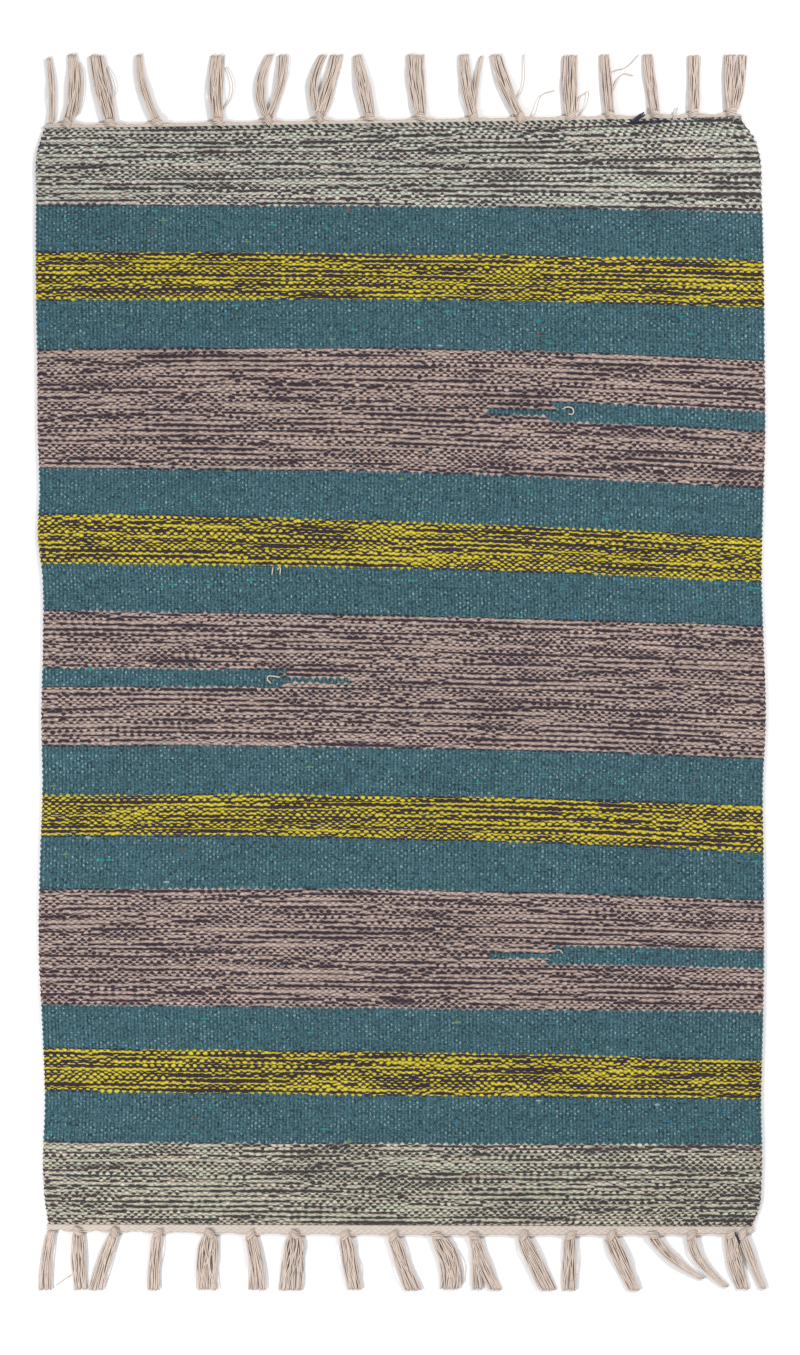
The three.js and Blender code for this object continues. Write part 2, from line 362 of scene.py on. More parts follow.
def run_along(path: Array) -> Array:
    """How far each point of a path is from its start, along the path."""
    return np.concatenate([[0], np.cumsum(np.linalg.norm(np.diff(path, axis=0), axis=1))])


def wall(rows: int, around: int) -> tuple[Array, Array, Array]:
    """Row, column and next column of each quad between the rings of a closed tube."""
    row, column = np.meshgrid(np.arange(rows - 1), np.arange(around), indexing="ij")
    return row, column, (column + 1) % around


def stacked(corners: list[tuple[Array, Array]]) -> Array:
    """The map places of the quads of a tube, from the grids of their four corners."""
    return np.stack([np.stack(corner, axis=2) for corner in corners], axis=2).reshape(-1, 2)


@dataclass
class Waver:
    """Smooth unevenness over the weave, between seeded random numbers on a lattice.

    Args:
        seed: The seed of the random numbers.
        warps: The lattice's step across the rug, in warps.
        picks: Its step along the rug, in picks.
        amount: The most that it moves a point.
        margin: How many steps the lattice reaches past the weave.
    """

    seed: int
    warps: float
    picks: float
    amount: float
    margin: int = 3
    numbers: Array = field(init=False)

    def __post_init__(self) -> None:
        """Draws the lattice's numbers."""
        columns = int(WARPS / self.warps) + 2 * self.margin + 2
        rows = int(STARTS[-1] / self.picks) + 2 * self.margin + 2
        self.numbers = np.random.default_rng(self.seed).uniform(-1, 1, (columns, rows))

    def at(self, u: Array, v: Array) -> Array:
        """How far a point of the weave is moved.

        Args:
            u: Its place across, in warps.
            v: Its place along, in picks.

        Returns:
            The move, in the unit of the amount.
        """
        across = u / self.warps + self.margin
        along = v / self.picks + self.margin
        i, j = np.floor(across).astype(int), np.floor(along).astype(int)
        s, t = across - i, along - j
        s, t = s * s * (3 - 2 * s), t * t * (3 - 2 * t)
        near = self.numbers[i, j] * (1 - s) + self.numbers[i + 1, j] * s
        far = self.numbers[i, j + 1] * (1 - s) + self.numbers[i + 1, j + 1] * s
        return self.amount * (near * (1 - t) + far * t)


@dataclass
class Weave:
    """Where each crossing of warp and weft lies, and how high the wefts stand there."""

    picks_waver: Waver = field(default_factory=lambda: Waver(seed=11, warps=13.0, picks=1.0, amount=0.42))
    lines_waver: Waver = field(default_factory=lambda: Waver(seed=12, warps=31.0, picks=6.0, amount=0.55))
    warps_waver: Waver = field(default_factory=lambda: Waver(seed=13, warps=1.0, picks=24.0, amount=0.32))
    calm_picks: float = 4.0  # over these the unevenness fades towards both ends
    calm_warps: float = 2.0
    weft_turn: float = 0.5  # how far the turning wefts stand out of the selvedge
    edge_radius: float = 1.9
    edges: list[Edge] = field(init=False)
    heights: Array = field(init=False)  # Y of the selvedges' rows
    lefts: Array = field(init=False)
    rights: Array = field(init=False)

    def __post_init__(self) -> None:
        """Gathers the stripes' edges, and the selvedges from the bottom to the top."""
        self.edges = [TOP_EDGE, *(stripe.lower for stripe in STRIPES)]
        self.heights, self.lefts, self.rights = np.array(sorted(SELVEDGES), float).T

    def selvedges(self, y: Array) -> tuple[Array, Array]:
        """X of the left and the right selvedge at y."""
        return through(y, self.heights, self.lefts), through(y, self.heights, self.rights)

    def place(self, u: Array, v: Array) -> tuple[Array, Array]:
        """Where the points of a grid of the weave lie.

        Args:
            u: Their places across, in warps from the left selvedge.
            v: Their places along, in picks from the top.

        Returns:
            Their X and Y in millimetres.
        """
        stripe = np.clip(np.searchsorted(STARTS, v, side="right") - 1, 0, len(STRIPES) - 1)
        share = (v - STARTS[stripe]) / (STARTS[stripe + 1] - STARTS[stripe])
        across = (u / WARPS * 2 - 1) * EDGE_REACH
        lines = np.array([edge.at(across[0]) for edge in self.edges])
        columns = np.arange(u.shape[1])[None, :]
        upper, lower = lines[stripe, columns], lines[stripe + 1, columns]
        inside = np.clip(np.minimum(v, STARTS[-1] - v) / self.calm_picks, 0, 1)
        waver = self.picks_waver.at(u, v) + self.lines_waver.at(u, v)
        y = upper + (lower - upper) * share + inside * waver
        left, right = self.selvedges(y)
        x = left + self.edge_radius + (right - left - 2 * self.edge_radius) * u / WARPS
        inside = np.clip(np.minimum(u, WARPS - u) / self.calm_warps, 0, 1)
        return x + inside * self.warps_waver.at(u, v), y

    @staticmethod
    def height(u: Array, v: Array) -> Array:
        """How high the wefts stand at a point, from 0 in a hollow to 1 on a float's crown.

        Each pick floats over every second warp, and the next pick over the warps between.

        Args:
            u: Places across, in warps.
            v: Places along, in picks.

        Returns:
            The heights.
        """
        crown = np.cos(np.pi * (u - 0.5))
        row = np.floor(v)
        part = v - row
        sign = 1 - 2 * np.mod(row, 2)
        hidden = np.maximum(0, -sign * crown)
        below = (part > 1 - hidden / 2).astype(float)
        above = (part < hidden / 2).astype(float)
        pick = row + below - above
        width = 1 + sign * (1 - 2 * (below + above)) * crown
        across = 0.5 + (v - pick - 0.5) / np.maximum(width, 1e-3)
        dome = np.sqrt(np.clip(1 - (2 * across - 1) ** 2, 0, 1))
        return np.where(width < 1e-2, 0, dome * (0.5 + 0.25 * width))


@dataclass
class Shape:
    """The corners and faces of one piece, gathered before they become a mesh."""

    points: list[Array] = field(default_factory=list)
    faces: list[tuple[int, ...]] = field(default_factory=list)
    maps: dict[str, list[Array]] = field(default_factory=dict)
    count: int = 0

    def add(self, points: Array, faces: list[list[int]], maps: dict[str, list[Array]]) -> None:
        """Adds some geometry.

        Args:
            points: Its corners in millimetres, a row each.
            faces: Its faces, each a run of corner numbers from 0.
            maps: For each map, the places of the face corners in turn.
        """
        self.points.append(points)
        self.faces += [tuple(corner + self.count for corner in face) for face in faces]
        for name, places in maps.items():
            self.maps.setdefault(name, []).extend(places)
        self.count += len(points)

    def piece(self, name: str, material: Material, node: str, slot: str) -> Object:
        """Makes the object.

        Args:
            name: Its name.
            material: Its finish.
            node: The solid that it stands for.
            slot: The slot that its finish belongs to. It is not used.

        Returns:
            The object, in the scene and riding on the rug's body.
        """
        mesh = bpy.data.meshes.new(name)
        mesh.from_pydata((np.concatenate(self.points) * MM).tolist(), [], self.faces)
        for map_name, places in self.maps.items():
            layer = mesh.uv_layers.new(name=map_name)
            layer.data.foreach_set("uv", np.concatenate(places).astype(np.float32).ravel())
        mesh.polygons.foreach_set("use_smooth", np.ones(len(mesh.polygons), bool))
        mesh.materials.append(material)
        made = bpy.data.objects.new(name, mesh)
        bpy.context.scene.collection.objects.link(made)
        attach(made, BODY)
        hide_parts(node)
        logging.info("%s: %d faces", name, len(mesh.polygons))
        return made


@dataclass(frozen=True)
class Cloth:
    """A strip of cloth across the whole rug, closed all round: relief above, flat below."""

    weave: Weave
    thickness: float
    relief: float
    edge_steps: int = 5
    under_steps: int = 4
    edge_run: float = 0.4  # warps of the weave map from point to point round an edge
    top_share: float = 0.88  # of the bake map's height
    under_share: float = 0.06
    cap_share: float = 0.01
    cap_starts: tuple[float, float] = (0.955, 0.975)
    gutter: float = 0.003

    def sections(self, u: Array, v: Array, x: Array, y: Array) -> tuple[Array, ...]:
        """The closed section of the strip at every row, from the left edge over the top.

        Args:
            u: The columns' places in warps.
            v: The rows' places in picks.
            x: X of each point of the top, a row for each row of the strip.
            y: Y of the same.

        Returns:
            X, Y and Z of the sections' points, and the columns' places in warps.
        """
        top = self.thickness - self.relief + self.relief * self.weave.height(u[None, :], v[:, None])
        angles = np.linspace(math.pi / 2, -math.pi / 2, self.edge_steps + 2)[None, 1:-1]
        turn = self.weave.weft_turn * np.cos(math.pi * (v - 0.5))[:, None]
        right_x = x[:, -1:] + (self.weave.edge_radius + turn) * np.cos(angles)
        right_z = top[:, -1:] / 2 * (1 + np.sin(angles))
        left_x = x[:, :1] - (self.weave.edge_radius - turn) * np.cos(angles)[:, ::-1]
        left_z = top[:, :1] / 2 * (1 + np.sin(angles))[:, ::-1]
        share = np.linspace(1, 0, self.under_steps + 1)
        under_x = x[:, :1] + (x[:, -1:] - x[:, :1]) * share[None, :]
        under_y = np.array([np.interp(*row) for row in zip(under_x, x, y)])
        right_y = np.repeat(y[:, -1:], self.edge_steps, axis=1)
        left_y = np.repeat(y[:, :1], self.edge_steps, axis=1)
        beyond = self.edge_run * np.arange(1, self.edge_steps + 1)
        places = np.concatenate([u, u[-1] + beyond, u[-1] * share, u[0] - beyond[::-1]])
        xs = np.concatenate([x, right_x, under_x, left_x], axis=1)
        ys = np.concatenate([y, right_y, under_y, left_y], axis=1)
        zs = np.concatenate([top, right_z, np.zeros_like(under_x), left_z], axis=1)
        return xs, ys, zs, places

    def strip(self, u: Array, v: Array, x: Array, y: Array) -> Shape:
        """The closed strip.

        Args:
            u: The columns' places in warps.
            v: The rows' places in picks.
            x: X of each point of the top, a row for each row of the strip.
            y: Y of the same.

        Returns:
            The shape, with its weave map and its bake map.
        """
        xs, ys, zs, places = self.sections(u, v, x, y)
        rows, around = xs.shape
        r, c, d = wall(rows, around)
        quads = [r * around + c, (r + 1) * around + c, (r + 1) * around + d, r * around + d]
        faces = np.stack(quads, axis=2).reshape(-1, 4).tolist()
        near, far = places[c], np.append(places, places[-1] + self.edge_run)[c + 1]
        weave_map = stacked([(near, v[r]), (near, v[r + 1]), (far, v[r + 1]), (far, v[r])])
        aspect = float(x[0, -1] - x[0, 0]) / float(abs(y[0, 0] - y[-1, 0]))
        maps = {WEAVE_MAP: [weave_map], BAKE_MAP: [self.bake_places(r, c, len(u), aspect)]}
        for row, way, start in ((0, 1, self.cap_starts[0]), (rows - 1, -1, self.cap_starts[1])):
            faces.append(list(range(row * around, (row + 1) * around))[::way])
            maps[WEAVE_MAP].append(np.stack([places, np.full(around, v[row])], axis=1)[::way])
            maps[BAKE_MAP].append(self.cap_places(xs[row], zs[row], start)[::way])
        shape = Shape()
        shape.add(np.stack([xs, ys, zs], axis=2).reshape(-1, 3), faces, maps)
        return shape

    def bake_places(self, r: Array, c: Array, columns: int, aspect: float) -> Array:
        """The bake map of the quads: the top in folds one under the other, the rest below.

        Args:
            r: The row of each quad.
            c: Its column.
            columns: How many columns of points the top has.
            aspect: The top's width against its height.

        Returns:
            The places of the four corners of each quad.
        """
        steps, around = c.shape
        folds = max(1, round(math.sqrt(self.top_share * aspect)))
        per_fold = math.ceil((columns - 1) / folds)
        fold = np.minimum(c // per_fold, folds - 1)
        tall = self.top_share / folds
        is_top = c < columns - 1
        start = np.where(is_top, fold * per_fold, columns - 1)
        per_row = np.where(is_top, per_fold, around - columns + 1)
        base = np.where(is_top, fold * tall, self.top_share) + self.gutter
        room = np.where(is_top, tall - 2 * self.gutter, self.under_share)
        left, right = (c - start) / per_row, (c + 1 - start) / per_row
        upper, lower = base + room * r / steps, base + room * (r + 1) / steps
        return stacked([(left, upper), (left, lower), (right, lower), (right, upper)])

    def cap_places(self, x: Array, z: Array, start: float) -> Array:
        """The bake map of one end of the strip, a thin line of its own."""
        across = (x - x.min()) / (x.max() - x.min())
        return np.stack([across, start + self.cap_share * z / self.thickness], axis=1)


@dataclass(frozen=True)
class Field:
    """The woven field, a piece for each stripe."""

    weave: Weave
    finish: Material
    relief: float = 0.9
    rows_per_pick: int = 2
    columns_per_warp: int = 2

    def build(self) -> list[Object]:
        """Makes the stripes.

        Returns:
            The pieces from the top to the bottom.
        """
        cloth = Cloth(self.weave, FIELD_THICKNESS, self.relief)
        u = np.linspace(0, WARPS, WARPS * self.columns_per_warp + 1)
        made = []
        for stripe, first, last in zip(STRIPES, STARTS, STARTS[1:]):
            v = np.linspace(first, last, stripe.picks * self.rows_per_pick + 1)
            x, y = self.weave.place(*np.meshgrid(u, v))
            shape = cloth.strip(u, v, x, y)
            made.append(shape.piece(f"stripe_{stripe.name}", self.finish, "field", "striped_weft"))
        return made


@dataclass(frozen=True)
class Yarn:
    """A round yarn that follows a path."""

    radius: float
    sides: int = 5
    cut_share: float = 0.7  # the radius at a cut end, as a share of the whole one
    own_start: float = 1.7  # moves each yarn's run on, so that no two look the same

    def along(self, shape: Shape, path: Array, up: Array = UP) -> None:
        """Adds the yarn to a shape.

        Args:
            shape: The shape.
            path: The points that it follows, in millimetres.
            up: The direction of its open side, one for all points or one for each.
        """
        tangent = np.gradient(path, axis=0)
        tangent /= np.linalg.norm(tangent, axis=1, keepdims=True)
        beside = np.cross(tangent, up)
        beside /= np.linalg.norm(beside, axis=1, keepdims=True)
        normal = np.cross(beside, tangent)
        rings, n = len(path), self.sides
        angles = np.linspace(0, 2 * math.pi, n, endpoint=False)
        radius = np.full(rings, self.radius)
        radius[[0, -1]] *= self.cut_share
        ring = np.cos(angles)[None, :, None] * beside[:, None, :]
        ring = ring + np.sin(angles)[None, :, None] * normal[:, None, :]
        points = path[:, None, :] + radius[:, None, None] * ring
        r, c, d = wall(rings, n)
        quads = np.stack([r * n + c, r * n + d, (r + 1) * n + d, (r + 1) * n + c], axis=2)
        caps = [list(range(n))[::-1], list(range((rings - 1) * n, rings * n))]
        run = run_along(path) + shape.count * self.own_start
        near, far = c / n, (c + 1) / n
        sides = stacked([(run[r], near), (run[r], far), (run[r + 1], far), (run[r + 1], near)])
        turns = np.arange(n) / n
        first = np.stack([np.full(n, run[0]), turns[::-1]], axis=1)
        last = np.stack([np.full(n, run[-1]), turns], axis=1)
        faces = quads.reshape(-1, 4).tolist() + caps
        shape.add(points.reshape(-1, 3), faces, {YARN_MAP: [sides, first, last]})


@dataclass(frozen=True)
class TasselYarns:
    """The yarns of one tassel or branch: its skirt, its knot, and the warps that run into the knot.

    Args:
        side: The end of the rug.
        weave: The weave, for its selvedges.
        row: The tassel.
        shape: The shape that they are added to.
        rng: The random numbers.
    """

    side: Side
    weave: Weave
    row: Tassel
    shape: Shape
    rng: np.random.Generator
    yarn_radius: float = 0.56
    # Skirt
    pitch: float = 1.12  # between the upper yarns, side by side
    under_share: float = 0.6  # lower yarns for each upper one
    crossing_share: float = 0.3
    upper_drift: float = 0.22  # how far a yarn changes its lane, in half widths
    under_drift: float = 0.3
    crossing_reach: float = 0.9
    lane_limit: float = 1.06
    upper_levels: Span = (0.62, 0.92)
    under_level: float = 0.25
    rings: int = 20
    width_places: tuple[float, ...] = (0, 0.08, 0.22, 0.5, 1)  # 0 at the knot, 1 at the tip
    height_places: tuple[float, ...] = (0, 0.15, 0.6, 1)
    neck_half: float = 3.8
    neck_height: float = 0.62 * KNOT_HEIGHT
    shoulder_share: float = 0.6  # how far the shoulder widens from the neck to the middle
    hip_share: float = 0.92  # of the width at half length
    shoulder_height: float = SKIRT_HEIGHT + 0.5
    raggedness: float = 0.022  # how much of its length a yarn may lack
    sway: Span = (0.04, 0.17)  # to the sides, in half widths
    sway_turns: Span = (0.5, 1.3)  # waves from the knot to the tip
    sway_free: float = 0.2  # how far from the knot the sway is a full one
    heave: Span = (0.05, 0.2)  # up and down, as a share of the room
    heave_turns: Span = (0.8, 2.2)
    heave_limit: float = 1.05
    skirt_swell: Span = (0.85, 1.12)  # a yarn's thickness against the others'
    # Knot
    knot_room: float = 4.6  # from the field's edge to a knot's middle, at the least
    wraps: int = 5
    wrap_points: int = 16
    wrap_pitch: float = 1.25
    ball_reach: float = 0.62  # from the knot's middle, for each wrap
    wrap_half: float = 0.44 * KNOT_WIDTH
    wrap_open: float = 0.55 * math.pi  # how far below the knot's sides a wrap starts and stops
    wrap_slant: Span = (1.2, 2.2)  # how far along the tassel a wrap's sides lie from its middle
    wrap_slip: float = 0.15  # how far a wrap may be out of its place
    wrap_widths: Span = (0.92, 1.06)
    wrap_swell: float = 1.1  # a wrap's thickness against the other yarns'
    lean_share: float = 0.12  # how far down the tassel the knot takes its lean
    lean_length: float = 5.5  # the same in millimetres
    # Warps that run along the heading's edge
    gathered: int = 5
    gather_start: float = 3.5
    gather_pitch: float = 3.1
    gather_inset: float = 3.0  # how far inside the knot the rug's width is taken
    gather_margin: float = 1.5  # from a selvedge
    gather_height: float = 1.3
    gather_rings: int = 8
    gather_end: float = 1.2  # from the knot's middle, to the side
    gather_dip: float = 1.3  # how far inside the heading's edge a warp starts
    gather_lift: float = 0.5  # how far outside the edge it then runs
    gather_lift_step: float = 0.12  # and how much further each next one
    gather_stretch: float = 1.15  # so that it is back at the edge before the knot
    gather_hump: float = 0.5  # how much higher it lies half way
    gather_stagger: float = 0.25  # how much higher every second one lies
    gather_swell: Span = (0.9, 1.1)

    def build(self) -> None:
        """Adds all of them."""
        self.skirt()
        if self.row.knotted and not self.row.branch:
            self.knot()
            self.gathering()

    def knot_place(self) -> tuple[float, float]:
        """Where the knot lies, beyond the heading's edge and clear of the field.

        Returns:
            Its X and Y.
        """
        inner, outer = HEADING_EDGES[self.side]
        sign, x = self.side.value, self.row.knot
        beyond = sign * outer.at(x) + KNOT_OFFSET + self.row.lift
        return x, sign * max(beyond, sign * inner.at(x) + self.knot_room)

    def centre_x(self, t: Array | float) -> Array | float:
        """The middle line, a parabola from the knot to the tip.

        Args:
            t: How far down the tassel, from 0 at the knot to 1 at the tip.

        Returns:
            X of the line there.
        """
        knot, tip = self.row.knot, self.row.tip
        bow = self.row.middle - (knot + tip) / 2
        return knot + (tip - knot) * t + bow * 4 * t * (1 - t)

    def skirt(self) -> None:
        """Adds the loose yarns: a row side by side, more under them, and a few across."""
        upper = max(3, round(self.row.middle_width / self.pitch))
        for index in range(upper):
            lane = (index + 0.5) / upper * 2 - 1
            drift = self.rng.uniform(-self.upper_drift, self.upper_drift)
            self.skirt_yarn(lane, lane + drift, self.rng.uniform(*self.upper_levels))
        under = max(2, round(upper * self.under_share))
        for index in range(under):
            lane = (index + 0.5) / under * 2 - 1
            drift = self.rng.uniform(-self.under_drift, self.under_drift)
            self.skirt_yarn(lane, lane + drift, self.under_level)
        for _ in range(round(upper * self.crossing_share)):
            start, end = self.rng.uniform(-self.crossing_reach, self.crossing_reach, 2)
            self.skirt_yarn(start, end, 1.0)

    def skirt_yarn(self, start: float, end: float, level: float) -> None:
        """Adds one yarn of the skirt, with a slow sway to the sides and up and down.

        Args:
            start: Its lane at the knot, from -1 at the left to 1 at the right.
            end: Its lane at the tip.
            level: How high it lies, from 0 on the floor to 1 on top.
        """
        row, rng = self.row, self.rng
        t = np.linspace(0, 1, self.rings)
        middle, tip = row.middle_width / 2, row.tip_width / 2
        neck = middle / 2 if row.branch else min(self.neck_half, middle)
        shoulder = (1 - self.shoulder_share) * neck + self.shoulder_share * middle
        widths = [neck, shoulder, self.hip_share * middle, middle, tip]
        heights = [self.neck_height, self.shoulder_height, SKIRT_HEIGHT, TIP_HEIGHT]
        half = np.interp(t, self.width_places, widths)
        room = np.interp(t, self.height_places, heights)
        sway = self.wave(self.sway, self.sway_turns, t) * np.clip(t / self.sway_free, 0, 1)
        lanes = start + (end - start) * t * t * (3 - 2 * t) + sway
        lanes = np.clip(lanes, -self.lane_limit, self.lane_limit)
        x = self.centre_x(t) + lanes * (half - self.yarn_radius)
        _, first = self.knot_place()
        last = self.side.value * (HALF_LENGTH - row.short)
        y = first + (last - first) * t * (1 - rng.uniform(0, self.raggedness))
        radius = self.yarn_radius * rng.uniform(*self.skirt_swell)
        heave = self.wave(self.heave, self.heave_turns, t)
        z = radius + (room - 2 * radius) * np.clip(level + heave, 0, self.heave_limit)
        Yarn(radius).along(self.shape, np.stack([x, y, z], axis=1))

    def wave(self, sizes: Span, turns: Span, t: Array) -> Array:
        """A slow wave down the tassel, with a random size, number of turns and start."""
        size, often, start = self.rng.uniform(*sizes), self.rng.uniform(*turns), self.rng.uniform()
        return size * np.sin(2 * np.pi * (often * t + start))

    def knot(self) -> None:
        """Adds the slanting wraps of the knot round the tassel's neck."""
        x, y = self.knot_place()
        lean = self.centre_x(self.lean_share) - x
        ahead = np.array([lean, self.side.value * self.lean_length, 0.0])
        ahead /= np.linalg.norm(ahead)
        beside = np.array([ahead[1], -ahead[0], 0.0])
        centre = np.array([x, y, KNOT_HEIGHT / 2])
        turn = np.linspace(-self.wrap_open, math.pi + self.wrap_open, self.wrap_points)[:, None]
        slant = self.rng.choice([-1, 1]) * self.rng.uniform(*self.wrap_slant)
        radius = self.yarn_radius * self.wrap_swell
        for index in range(self.wraps):
            place = index - (self.wraps - 1) / 2
            full = math.sqrt(1 - (place / (self.ball_reach * self.wraps)) ** 2)
            wide = (self.wrap_half - radius) * full * self.rng.uniform(*self.wrap_widths)
            tall = (KNOT_HEIGHT / 2 - radius) * (1 + full) / 2
            slip = self.rng.uniform(-self.wrap_slip, self.wrap_slip)
            shift = place * self.wrap_pitch + slant * np.cos(turn) * full + slip
            path = centre + shift * ahead + wide * np.cos(turn) * beside + tall * np.sin(turn) * UP
            out = tall * np.cos(turn) * beside + wide * np.sin(turn) * UP
            Yarn(radius).along(self.shape, path, out)

    def gathering(self) -> None:
        """Adds the warps that run along the heading's edge into the knot, from both sides."""
        x, y = self.knot_place()
        sign = self.side.value
        outer = HEADING_EDGES[self.side][1]
        rise = abs(y - outer.at(x))
        left, right = self.weave.selvedges(np.array([y - sign * self.gather_inset]))
        t = np.linspace(0, 1, self.gather_rings)
        for way in (-1, 1):
            for index in range(self.gathered):
                far = x + way * (self.gather_start + self.gather_pitch * index)
                far = float(np.clip(far, left[0] + self.gather_margin, right[0] - self.gather_margin))
                px = far + (x + way * self.gather_end - far) * t
                most = self.gather_lift + self.gather_lift_step * index
                lift = most * np.sin(np.pi * np.clip(t * self.gather_stretch, 0, 1))
                py = outer.at(px) + sign * (-self.gather_dip * (1 - t) ** 2 + lift + rise * t * t)
                climb = (KNOT_HEIGHT / 2 - self.gather_height) * t ** 3
                climb = climb + self.gather_hump * np.sin(np.pi * t)
                pz = self.gather_height + self.gather_stagger * (index % 2) + climb
                radius = self.yarn_radius * self.rng.uniform(*self.gather_swell)
                Yarn(radius).along(self.shape, np.stack([px, py, pz], axis=1))


@dataclass(frozen=True)
class Fringe:
    """One end of the rug beyond the field: the plain heading and the knotted tassels."""

    side: Side
    weave: Weave
    cloth_finish: Material
    yarn_finish: Material
    picks: int = 4
    relief: float = 0.5
    points_per_thread: int = 2

    def build(self) -> list[Object]:
        """Makes the heading and the tassels.

        Returns:
            The pieces, the tassels from left to right.
        """
        made = [self.dressed(self.heading(), "heading", self.cloth_finish)]
        for number, shape in enumerate(self.tassels(), start=1):
            made.append(self.dressed(shape, f"tassel_{number:02d}", self.yarn_finish))
        return made

    def dressed(self, shape: Shape, name: str, finish: Material) -> Object:
        """Makes a piece of this end."""
        end = self.side.word
        return shape.piece(f"{end}_{name}", finish, f"{end}_fringe", "ecru_cotton")

    def heading(self) -> Shape:
        """The plain strip between the field and the tassels.

        Returns:
            Its shape.
        """
        inner, outer = HEADING_EDGES[self.side]
        u = np.linspace(0, WARPS, WARPS * self.points_per_thread + 1)
        v = np.linspace(0, self.picks, self.picks * self.points_per_thread + 1)
        across = (u / WARPS * 2 - 1) * EDGE_REACH
        start = inner.at(across) + self.side.value * SEAM_GAP
        y = start[None, :] + (outer.at(across) - start)[None, :] * (v / self.picks)[:, None]
        left, right = self.weave.selvedges(y)
        x = left + (right - left) * u[None, :] / WARPS
        way = -self.side.value
        cloth = Cloth(self.weave, HEADING_THICKNESS, self.relief)
        return cloth.strip(u, v[::way], x[::way], y[::way])

    def tassels(self) -> list[Shape]:
        """The tassels. A branch is part of the tassel before it.

        Returns:
            Their shapes, from left to right.
        """
        shapes = []
        for index, row in enumerate(TASSELS[self.side]):
            if not row.branch:
                shapes.append(Shape())
            rng = np.random.default_rng(TASSEL_SEEDS[self.side] + index)
            TasselYarns(self.side, self.weave, row, shapes[-1], rng).build()
        return shapes


@dataclass(frozen=True)
class LooseYarns:
    """Yarns that have come away from one part of the rug, joined in one piece."""

    name: str
    rows: tuple[LooseYarn, ...]
    finish: Material
    node: str
    slot: str
    step: float = 1.6  # millimetres between rings
    least_rings: int = 4
    bow: float = 0.9  # how much higher a yarn lies between its ends

    def build(self) -> Object:
        """Makes the piece.

        Returns:
            The piece.
        """
        shape = Shape()
        for row in self.rows:
            points = np.array(row.points, float)
            chord = run_along(points)
            at = np.linspace(0, chord[-1], max(self.least_rings, round(chord[-1] / self.step)))
            x, y = (through(at, chord, points[:, axis]) for axis in (0, 1))
            share = at / chord[-1]
            z = row.start_height + (row.end_height - row.start_height) * share
            z = z + self.bow * np.sin(math.pi * share)
            Yarn(row.radius).along(shape, np.stack([x, y, z], axis=1))
        return shape.piece(self.name, self.finish, self.node, self.slot)


def math_method(operation: str, reflected: bool = False) -> Callable:
    """Makes the method for one operator.

    Args:
        operation: The operation of the Math node that it adds.
        reflected: Whether the value itself comes second.

    Returns:
        The method.
    """

    def method(self: "Signal", other: "Signal | float") -> "Signal":
        """The result of the node."""
        return self.look.maths(operation, *((other, self) if reflected else (self, other)))

    return method


class Signal:
    """One shader value. Its operators add Math nodes."""

    def __init__(self, look: "Look", socket: NodeSocket) -> None:
        """Wraps an output socket of a look's node."""
        self.look = look
        self.socket = socket

    __add__ = __radd__ = math_method("ADD")
    __mul__ = __rmul__ = math_method("MULTIPLY")
    __sub__ = math_method("SUBTRACT")
    __rsub__ = math_method("SUBTRACT", reflected=True)
    __truediv__ = math_method("DIVIDE")
    __rtruediv__ = math_method("DIVIDE", reflected=True)
    __pow__ = math_method("POWER")
    __rpow__ = math_method("POWER", reflected=True)
    __mod__ = math_method("FLOORED_MODULO")
    __rmod__ = math_method("FLOORED_MODULO", reflected=True)
    __gt__ = math_method("GREATER_THAN")
    __lt__ = math_method("LESS_THAN")
    at_least = math_method("MAXIMUM")
    at_most = math_method("MINIMUM")

    def __abs__(self) -> "Signal":
        """The value without its sign."""
        return self.look.maths("ABSOLUTE", self)

    def smooth(self, low: float, high: float) -> "Signal":
        """A smooth step, from 0 at low to 1 at high."""
        settings = {"interpolation_type": "SMOOTHSTEP"}
        return self.look.node("ShaderNodeMapRange", settings, {0: self, 1: low, 2: high})

    def output(self, number: int) -> "Signal":
        """Another output of the same node."""
        return Signal(self.look, self.socket.node.outputs[number])


